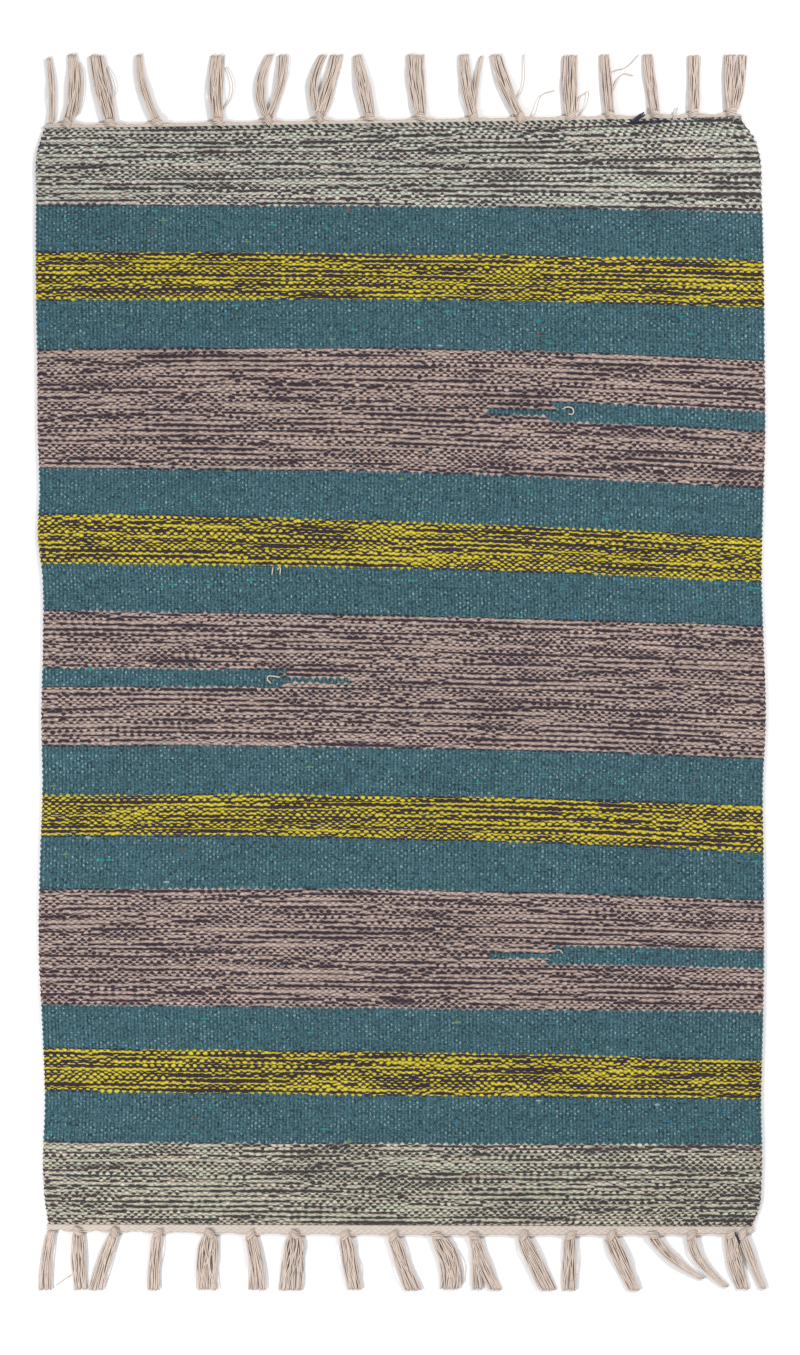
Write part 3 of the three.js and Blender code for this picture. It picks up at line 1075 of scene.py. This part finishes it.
class Look:
    """A material under construction."""

    def __init__(self, name: str, roughness: float, sheen: float = 0.0, specular: float = 0.25) -> None:
        """Starts a material with one shader.

        Args:
            name: The material's name.
            roughness: The shader's roughness.
            sheen: How much light the loose fibres catch.
            specular: How much light the surface mirrors.
        """
        self.material = bpy.data.materials.new(name)
        self.material.use_nodes = True
        self.tree = self.material.node_tree
        self.shader = self.tree.nodes["Principled BSDF"]
        self.shader.inputs["Roughness"].default_value = roughness
        self.shader.inputs["Sheen Weight"].default_value = sheen
        self.shader.inputs["Specular IOR Level"].default_value = specular

    def node(self, kind: str, settings: dict | None = None, sockets: dict | None = None) -> Signal:
        """Adds a node.

        Args:
            kind: Its type.
            settings: Its own settings, set first. Under "stops" are a ramp's places and colours.
            sockets: The values or links of its sockets, by name or number.

        Returns:
            Its first output.
        """
        made = self.tree.nodes.new(kind)
        for name, value in (settings or {}).items():
            if name == "stops":
                self.fill(made.color_ramp, value)
            else:
                setattr(made, name, value)
        for key, value in (sockets or {}).items():
            self.feed(made.inputs[key], value)
        return Signal(self, made.outputs[0])

    @staticmethod
    def fill(ramp: ColorRamp, stops: list[tuple[float, tuple]]) -> None:
        """Gives a ramp its stops, with hard steps between them.

        Args:
            ramp: The ramp, with two stops.
            stops: The place and the colour of each stop.
        """
        ramp.interpolation = "CONSTANT"
        for index, (place, colour) in enumerate(stops):
            stop = ramp.elements[index] if index < 2 else ramp.elements.new(place)
            stop.position = place
            stop.color = colour

    def feed(self, socket: NodeSocket, value: Any) -> None:
        """Links or sets one input.

        Args:
            socket: The input.
            value: A shader value to link, or a plain value to set.
        """
        if isinstance(value, Signal):
            self.tree.links.new(value.socket, socket)
        else:
            socket.default_value = value

    def maths(self, operation: str, *operands: Signal | float) -> Signal:
        """Adds a Math node that does an operation on one or two values."""
        return self.node("ShaderNodeMath", {"operation": operation}, dict(enumerate(operands)))

    def mix(self, factor: Signal | float, first: Any, second: Any) -> Signal:
        """Two colours mixed, with so much of the second one as the factor says."""
        return self.node("ShaderNodeMix", {"data_type": "RGBA"}, {0: factor, 6: first, 7: second}).output(2)

    def noise(self, first: Signal, second: Signal, detail: float = 1.0) -> Signal:
        """Smooth noise over two values, about 0.5 in the mean."""
        sockets = {"Vector": self.pair(first, second), "Scale": 1.0, "Detail": detail}
        return self.node("ShaderNodeTexNoise", {"noise_dimensions": "2D"}, sockets)

    def chance(self, first: Signal, second: Signal | float) -> Signal:
        """A random number from 0 to 1 for each pair of whole values."""
        sockets = {"Vector": self.pair(first, second)}
        return self.node("ShaderNodeTexWhiteNoise", {"noise_dimensions": "2D"}, sockets)

    def pair(self, first: Signal, second: Signal | float) -> Signal:
        """Two values as one vector."""
        return self.node("ShaderNodeCombineXYZ", None, {0: first, 1: second})

    def map_places(self, name: str) -> tuple[Signal, Signal]:
        """Reads a UV map.

        Args:
            name: The map's name.

        Returns:
            Its two values.
        """
        source = self.node("ShaderNodeUVMap", {"uv_map": name})
        split = self.node("ShaderNodeSeparateXYZ", None, {0: source})
        return split, split.output(1)

    def scaled(self, colour: Signal | Colour, amount: Signal) -> Signal:
        """A colour made lighter or darker by a factor."""
        start = colour if isinstance(colour, Signal) else colour[:3]
        return self.node("ShaderNodeVectorMath", {"operation": "SCALE"}, {0: start, "Scale": amount})

    def paint(self, colour: Signal) -> None:
        """Feeds the shader's base colour."""
        self.feed(self.shader.inputs["Base Color"], colour)

    def bump(self, height: Signal, distance: float, strength: float) -> None:
        """Feeds the shader's normal from a height."""
        sockets = {"Height": height, "Distance": distance, "Strength": strength}
        self.feed(self.shader.inputs["Normal"], self.node("ShaderNodeBump", None, sockets))


@dataclass(frozen=True)
class Floats:
    """Where a shaded point lies in the weave."""

    look: Look
    pick: Signal  # the weft that covers it
    column: Signal  # the warp that this weft floats over there
    across: Signal  # 0 at the upper edge of the float, 1 at the lower one
    along: Signal  # -1 to 1 from end to end of the float
    down: Signal  # how far the point is below the weft's middle, in picks
    hidden: Signal  # 1 in the hollow between two floats
    part: Signal  # how far the point is down its row
    row: Signal  # the row that it lies in, whichever weft covers it
    crown: Signal  # 1 or -1 over a warp, 0 between two


def floats(look: Look, u: Signal, v: Signal) -> Floats:
    """Finds the float that covers a point of a plain weave with its wefts packed tight.

    Args:
        look: The material.
        u: The place across, in warps.
        v: The place along, in picks.

    Returns:
        The point's place in its float.
    """
    row = look.maths("FLOOR", v)
    part = v - row
    sign = 1 - 2 * (row % 2)
    crown = look.maths("COSINE", (u - 0.5) * math.pi)
    hidden = (0 - sign * crown).at_least(0)
    below = part > 1 - hidden * 0.5
    above = part < hidden * 0.5
    pick = row + below - above
    own_sign = sign * (1 - 2 * (below + above))
    across = 0.5 + (v - pick - 0.5) / (1 + own_sign * crown).at_least(0.05)
    odd = (1 - own_sign) * 0.5
    column = 2 * look.maths("ROUND", (u - 0.5 - odd) * 0.5) + odd
    return Floats(look, pick, column, across, u - column - 0.5, v - pick - 0.5, hidden, part, row, crown)


def arch(rim: Signal) -> Signal:
    """The height of a round strand, from where a point lies between its middle and its rim."""
    return rim.look.maths("SQRT", (1 - rim * rim).at_least(0))


@dataclass(frozen=True)
class WeftColours:
    """The two strands that a weft is doubled from: a ground, and a thinner one that shows as dashes.

    Args:
        upper: The ground's colour along its upper side.
        lower: Its colour along its lower side.
        dash: The other strand's colour.
        share: How much of a float the ground covers.
        reach: How far a dash reaches from the middle of its float, in warps.
        plain: Whether both strands are the same teal.
    """

    upper: Colour
    lower: Colour
    dash: Colour
    share: float = 0.6
    reach: float = 0.78
    plain: bool = False


@dataclass(frozen=True)
class Strand:
    """Which of a weft's two strands shows at a point, and where the point lies in it."""

    is_dash: Signal
    rim: Signal  # 0 in the middle of the strand, 1 at its sides
    down: Signal  # 0 at the ground's upper side, 1 at its lower one


@dataclass(frozen=True)
class StripedWeft:
    """The finish of the field: doubled wefts that change from stripe to stripe.

    A number added to a noise's place only takes it to a part of the noise of its own.
    """

    colours: dict[Weft, WeftColours]
    order_length: float = 76.0  # in warps, how long the two strands keep their order
    order_height: float = 5.0  # in picks, how far the same habit goes on
    order_weight: float = 1.5  # how much the order counts, against the slips
    order_slips: float = 0.35  # how much single floats fall out of the order
    roll: float = 0.03  # how slowly the strands change places, against the unevenness of their order
    dash_place: float = 0.42  # how far the dash's middle is from the weft's middle, in picks
    dash_lean: float = 1.1  # how much a dash slants along its float
    dash_base: float = 0.2  # how thick the dash is, against its share: for every float
    dash_uneven: float = 1.6  # along each weft
    dash_patches: float = 3.0  # in patches of some wefts
    dash_chance: float = 0.9  # from float to float
    dash_least: float = 0.3
    ground_place: float = 0.3  # from the weft's middle to the ground's, on the side without the dash
    ground_half: float = 0.6  # of its thickness, in picks
    end_shade: float = 0.58  # how much darker a doubled weft is at a float's ends
    side_shade: float = 0.3  # and at the float's sides
    rim_shade: float = 0.4  # and at a strand's sides
    rib_shade: float = 0.28  # how much darker the plain weft is between two warps
    slub_share: float = 0.009  # of the floats
    ply_turns: float = 5.0  # of the bump's twist, in half turns for each warp
    ply_slant: float = 2.2
    ply_depth: float = 0.12  # against the strand's own roundness
    bump_height: float = 0.0005  # in metres
    bump_strength: float = 0.6
    warp_colour: Colour = linear(152, 178, 182)
    slub_dyes: tuple[tuple[float, Colour], ...] = (
        (0.0, linear(20, 140, 134)),
        (0.34, linear(26, 110, 150)),
        (0.52, linear(150, 168, 170)),
        (0.58, linear(38, 56, 66)),
        (0.86, linear(110, 140, 76)),
        (0.95, linear(112, 74, 62)),
    )

    def make(self) -> Material:
        """Builds the material.

        Returns:
            The material.
        """
        look = Look("striped_weft", roughness=0.92, sheen=0.08)
        u, v = look.map_places(WEAVE_MAP)
        du = (look.noise(u * 0.9, v * 0.45) - 0.5) * 0.5
        dv = (look.noise(u * 0.33 + 40.0, v * 0.8) - 0.5) * 0.7
        at = floats(look, u + du, v + dv)
        place = (self.stripe_index(at) + 0.5) / len(STRIPES)
        upper, plain = self.ramp(place, "upper", "plain")
        lower, share = self.ramp(place, "lower", "share")
        dash, reach = self.ramp(place, "dash", "reach")
        strand = self.strand(at, share, reach)
        ground = look.mix(strand.down.smooth(0.1, 0.9), upper, lower)
        weft = look.mix(strand.is_dash, ground, dash)
        weft = look.scaled(weft, self.shade(at, strand.rim, plain) * self.tone(at, u, v, plain))
        look.paint(self.specks(at, u, v, plain, weft))
        ply = look.maths("SINE", (at.along * self.ply_turns + strand.down * self.ply_slant) * math.pi)
        look.bump(arch(strand.rim) + self.ply_depth * ply, self.bump_height, self.bump_strength)
        return look.material

    def strand(self, at: Floats, share: Signal, reach: Signal) -> Strand:
        """Chooses the strand that shows. The dash rolls round the ground along the weft.

        Where neighbouring wefts have their strands in the same order, the dashes make a checker. Where
        the order changes from each weft to the next, they meet in pairs and make a running line.

        Args:
            at: The point's float.
            share: How much of the float the ground covers at its middle.
            reach: How far a dash reaches from the middle of its float.

        Returns:
            The strand.
        """
        look, warp, pick = at.look, at.column, at.pick
        slow, rise = 1 / self.order_length, 1 / self.order_height
        own = look.noise(warp * (1.8 * slow) + look.chance(pick, 3.0) * 700.0, pick * 0.731) - 0.5
        same = look.noise(warp * slow + 50.0, pick * rise + 7.0) - 0.5
        swap = look.noise(warp * slow * 0.8 + 90.0, pick * rise * 0.7 + 3.0) - 0.5
        each = look.chance(warp + 2.0, pick + 41.0) - 0.5
        parity, weight = 1 - 2 * (pick % 2), self.order_weight
        habit = own * weight + same * weight + parity * swap * weight + each * self.order_slips
        # Outward at both ends of the field the ground shows, not a row of dashes
        ends = 2 * (pick < 0.5) - 2 * (pick > STARTS[-1] - 1.5)
        side = 2 * (habit + ends).smooth(-self.roll, self.roll) - 1
        uneven = look.noise(warp * 0.05 + look.chance(pick, 8.0) * 300.0, pick * 1.3 + 9.0)
        patch = look.noise(warp * 0.034 + 11.0, pick * 0.4 + 4.0, 2.0) - 0.5
        lean = look.noise(warp * 0.09 + 20.0, pick * 0.4 + 60.0) - 0.5
        middle = side * self.dash_place + at.along * lean * self.dash_lean
        thick = self.dash_uneven * uneven + self.dash_base + self.dash_patches * patch
        thick = thick + self.dash_chance * each
        half = (1 - share) * thick.at_least(self.dash_least) * self.lens(at, reach)
        off = (at.down - middle) / half
        is_dash = abs(off).smooth(1.5, 0.6)
        ground_off = (at.down + side * self.ground_place) / self.ground_half
        rim = abs(ground_off + is_dash * (off - ground_off))
        return Strand(is_dash, rim.at_most(1.0), 0.5 + 0.5 * ground_off)

    @staticmethod
    def lens(at: Floats, reach: Signal | float) -> Signal:
        """How tall a strand looks along its float: 1 in the middle and 0 from its reach on."""
        off = at.along / reach
        return (1 - off * off).at_least(0.0001) ** 0.55

    def shade(self, at: Floats, rim: Signal, plain: Signal) -> Signal:
        """How the hollows darken: between strands, and between warps.

        Args:
            at: The point's float.
            rim: 0 in the middle of the strand, 1 at its sides.
            plain: 1 on a plain weft.

        Returns:
            The factor.
        """
        between = abs(at.crown).smooth(0.75, 0.05)
        edge = abs(at.across * 2 - 1).smooth(0.4, 1.05)
        ends = abs(at.along).smooth(0.3, 0.85)
        doubled = 1.23 - self.rim_shade * rim.smooth(0.05, 1.0)
        doubled = doubled - self.end_shade * ends - self.side_shade * edge
        single = 1.06 - self.rib_shade * between - 0.14 * edge
        return doubled + plain * (single - doubled)

    @staticmethod
    def tone(at: Floats, u: Signal, v: Signal, plain: Signal) -> Signal:
        """How light the yarn is from place to place.

        Args:
            at: The point's float.
            u: The place across.
            v: The place along.
            plain: 1 on a plain weft.

        Returns:
            The factor.
        """
        look = at.look
        own = look.chance(at.pick, 5.0) * 90.0
        yarn = look.noise(u * 0.7 + own, at.pick * 0.9 + 5.0, 2.0)
        strand = look.noise(u * 0.05 + own, at.pick * 0.9 + 31.0)
        wide = look.noise(u * 0.03, v * 0.05, 2.0)
        each = look.chance(at.column + 7.0, at.pick) - 0.5
        fine = look.noise(u * 1.7, v * 1.1) - 0.5
        uneven = (0.1 + 0.3 * plain) * each + (0.7 + 1.6 * plain) * fine
        return 0.64 + 0.2 * yarn + uneven + 0.2 * wide + (0.36 - 0.2 * plain) * strand + 0.08 * plain

    @staticmethod
    def stripe_index(at: Floats) -> Signal:
        """Which stripe's yarn covers a point, with the wedges as teal.

        Args:
            at: The point's float.

        Returns:
            The stripe's number from 0.
        """
        index = at.pick > STARTS[1] - 0.5
        for start in STARTS[2:-1]:
            index = index + (at.pick > start - 0.5)
        ragged = (at.look.chance(at.pick, 17.0) - 0.5) * 3.0
        for wedge in WEDGES:
            start = STARTS[wedge.stripe]
            rows = (at.pick > start + wedge.first - 0.5) * (at.pick < start + wedge.last + 0.5)
            on_tail = at.look.maths("COMPARE", at.pick, start + wedge.tail + 0.5, 0.9)
            stop = wedge.end + ragged * (1 - on_tail) + on_tail * (wedge.tail_end - wedge.end)
            inside = (at.column > stop) if wedge.from_right else (at.column < stop)
            index = index + rows * inside * (1 - index)
        return index

    def ramp(self, place: Signal, colour: str, beside: str) -> tuple[Signal, Signal]:
        """One colour of the stripe's weft, with a number of it as the colour's alpha.

        Args:
            place: The stripe's place in the ramp.
            colour: Which colour.
            beside: Which number.

        Returns:
            The colour and the number.
        """
        stops = []
        for number, stripe in enumerate(STRIPES):
            weft = self.colours[stripe.weft]
            red, green, blue, _ = getattr(weft, colour)
            stops.append((number / len(STRIPES), (red, green, blue, float(getattr(weft, beside)))))
        made = place.look.node("ShaderNodeValToRGB", {"stops": stops}, {0: place})
        return made, made.output(1)

    def specks(self, at: Floats, u: Signal, v: Signal, plain: Signal, colour: Signal) -> Signal:
        """Adds the warps that peek out between the floats, and the odd slubs in the yarn.

        Args:
            at: The point's float.
            u: The place across.
            v: The place along.
            plain: 1 on a plain weft.
            colour: The weft's colour.

        Returns:
            The colour.
        """
        look = at.look
        cluster = look.noise(u * 0.08, v * 0.22, 2.0).smooth(0.38, 0.66)
        luck = look.chance(look.maths("FLOOR", u), at.row)
        strength = 0.18 + 0.86 * (luck + 0.55 * cluster).smooth(0.55, 1.5)
        speck = at.hidden.smooth(0.66, 0.97) * abs(at.part - 0.5).smooth(0.5, 0.1) * strength
        colour = look.mix(speck * (0.12 + 0.7 * plain), colour, self.warp_colour)
        slub = (look.chance(at.column, at.pick) > 1 - self.slub_share) * (0.2 + 0.8 * plain)
        kind = look.chance(at.pick, at.column * 3.0 + 1.0)
        dye = look.node("ShaderNodeValToRGB", {"stops": self.slub_dyes}, {0: kind})
        inner = abs(at.down) < 0.42 * self.lens(at, WeftColours.reach)
        return look.mix(slub * inner * 0.7, colour, dye)


@dataclass(frozen=True)
class EcruCloth:
    """The finish of the headings: undyed cotton in plain weave."""

    base: Colour = linear(203, 190, 179)
    rim_shade: float = 0.22  # how much darker a float's sides are
    ply_turns: float = 4.0
    ply_slant: float = 1.5
    ply_depth: float = 0.15
    bump_height: float = 0.0004  # in metres
    bump_strength: float = 0.5

    def make(self) -> Material:
        """Builds the material.

        Returns:
            The material.
        """
        look = Look("ecru_cloth", roughness=0.92, sheen=0.1)
        u, v = look.map_places(WEAVE_MAP)
        at = floats(look, u + (look.noise(u * 0.9, v * 0.7) - 0.5) * 0.5, v)
        rim = abs(at.across * 2 - 1)
        shade = 1 - self.rim_shade * rim.smooth(0.5, 1.05)
        tone = 0.9 + 0.2 * look.noise(u * 0.6, at.pick * 2.3, 2.0)
        look.paint(look.scaled(self.base, shade * tone))
        ply = look.maths("SINE", (at.along * self.ply_turns + at.across * self.ply_slant) * math.pi)
        look.bump(arch(rim) + self.ply_depth * ply, self.bump_height, self.bump_strength)
        return look.material


@dataclass(frozen=True)
class PliedYarn:
    """The finish of a loose plied yarn, with its under side painted in the brown shade of its neighbours.
    """

    name: str
    base: Colour
    # under: painted shade, the darker colour of the yarn's sides and under side where its neighbours shade
    # it
    under: Colour
    twist: float = 4.2  # millimetres of yarn for one turn
    groove_shade: float = 0.08  # how much darker the grooves between the plies are
    bump_height: float = 0.0003  # in metres
    bump_strength: float = 0.5

    def make(self) -> Material:
        """Builds the material.

        Returns:
            The material.
        """
        look = Look(self.name, roughness=0.9, sheen=0.1)
        run, turn = look.map_places(YARN_MAP)
        ply = abs(look.maths("SINE", (run / self.twist + turn) * (2 * math.pi)))
        fibre = look.noise(run * 2.0 + turn * 3.0, turn * 14.0, 2.0)
        slow = look.noise(run * 0.12, turn * 0.2 + 3.0, 2.0)
        up = look.maths("SINE", turn * (2 * math.pi))
        # Painted shade: away from its top the yarn takes the darker under colour, as the shade between
        # neighbouring yarns
        colour = look.mix(up.smooth(0.05, 0.85), self.under, self.base)
        groove = (1 - self.groove_shade) + self.groove_shade * ply.smooth(0.0, 0.55)
        look.paint(look.scaled(colour, groove * (0.755 + 0.14 * fibre + 0.34 * slow)))
        look.bump(ply * 0.5 + 0.25 * fibre, self.bump_height, self.bump_strength)
        return look.material


@dataclass(frozen=True)
class Studio:
    """The floor, the lights and the camera straight above the rug."""

    centre_x: float = -1.5
    centre_y: float = -4.3
    seen_length: float = 1138.2
    lens: float = 85.0
    sensor: float = 36.0
    lamp_power: float = 34.0
    lamp_size: float = 0.5
    lamp_places: tuple[tuple[str, tuple[float, float, float]], ...] = (
        ("key", (1.5, 1.0, 1.5)),
        ("fill", (-1.5, -1.0, 1.5)),
    )
    world: float = 0.5
    floor_reach: float = 12.0
    floor_height: float = -0.0002  # just clear of the rug's under side
    floor_colour: Colour = linear(246, 246, 247)

    def build(self) -> None:
        """Makes them."""
        self.floor()
        for name, place in self.lamp_places:
            self.lamp(name, Vector(place))
        world = bpy.data.worlds.new("pale_room")
        world.use_nodes = True
        world.node_tree.nodes["Background"].inputs["Color"].default_value = (1, 1, 1, 1)
        world.node_tree.nodes["Background"].inputs["Strength"].default_value = self.world
        bpy.context.scene.world = world
        bpy.context.scene.view_settings.view_transform = "Standard"
        self.camera()

    def floor(self) -> None:
        """A wide pale floor just under the rug."""
        turns = ((-1, -1), (1, -1), (1, 1), (-1, 1))
        corners = [(self.floor_reach * x, self.floor_reach * y, self.floor_height) for x, y in turns]
        mesh = bpy.data.meshes.new("floor")
        mesh.from_pydata(corners, [], [(0, 1, 2, 3)])
        look = Look("pale_floor", roughness=0.85)
        look.shader.inputs["Base Color"].default_value = self.floor_colour
        mesh.materials.append(look.material)
        made = bpy.data.objects.new("floor", mesh)
        bpy.context.scene.collection.objects.link(made)

    def lamp(self, name: str, place: Vector) -> None:
        """One soft lamp that faces the rug.

        Args:
            name: Its name.
            place: Where it hangs, in metres.
        """
        data = bpy.data.lights.new(name, "AREA")
        data.energy = self.lamp_power
        data.size = self.lamp_size
        made = bpy.data.objects.new(name, data)
        made.location = place
        made.rotation_euler = (-place).to_track_quat("-Z", "Y").to_euler()
        bpy.context.scene.collection.objects.link(made)

    def camera(self) -> None:
        """A long lens straight above the middle of the picture."""
        data = bpy.data.cameras.new("camera")
        data.lens = self.lens
        data.sensor_width = self.sensor
        made = bpy.data.objects.new("camera", data)
        away = self.seen_length / self.sensor * self.lens + FIELD_THICKNESS
        made.location = Vector((self.centre_x, self.centre_y, away)) * MM
        bpy.context.scene.collection.objects.link(made)
        bpy.context.scene.camera = made


def striped_weft() -> StripedWeft:
    """Chooses the colours of the stripes' wefts.

    Returns:
        The field's finish.
    """
    dusk = linear(49, 38, 48)
    ink = linear(57, 50, 54)
    teal = linear(54, 87, 96)
    yellow = linear(187, 171, 42)
    wefts = {
        Weft.PALE_TOP: WeftColours(linear(164, 178, 163), linear(186, 169, 160), ink, share=0.53),
        Weft.TEAL: WeftColours(teal, teal, teal, plain=True),
        Weft.YELLOW: WeftColours(dusk, dusk, yellow, share=0.63, reach=0.95),
        Weft.PINK: WeftColours(linear(166, 147, 138), linear(164, 143, 135), dusk, share=0.52),
        Weft.PALE_BOTTOM: WeftColours(linear(184, 166, 153), linear(164, 176, 152), ink, share=0.52),
    }
    return StripedWeft(wefts)


def main() -> None:
    """Builds the rug and its studio, piece by piece."""
    logging.basicConfig(level=logging.INFO, format="%(message)s")
    weave = Weave()
    ecru_cloth = EcruCloth().make()
    # Each yarn's second colour is painted shade for its sides and under side
    ecru_yarn = PliedYarn("ecru_yarn", linear(212, 196, 184), linear(168, 145, 129)).make()
    navy_yarn = PliedYarn("navy_yarn", linear(46, 44, 66), linear(30, 28, 40)).make()
    stripes = Field(weave, striped_weft().make()).build()
    ends = {side: Fringe(side, weave, ecru_cloth, ecru_yarn).build() for side in Side}
    for side, strays in ((Side.TOP, TOP_STRAYS), (Side.BOTTOM, BOTTOM_STRAYS)):
        names = f"{side.word}_strays", f"{side.word}_fringe"
        ends[side].append(LooseYarns(names[0], strays, ecru_yarn, names[1], "ecru_cotton").build())
    ends[Side.TOP].append(LooseYarns("navy_ends", NAVY_ENDS, navy_yarn, "field", "striped_weft").build())
    light_ends = LooseYarns("light_ends", LIGHT_ENDS, ecru_yarn, "field", "striped_weft").build()
    Studio().build()


if __name__ == "__main__":
    main()
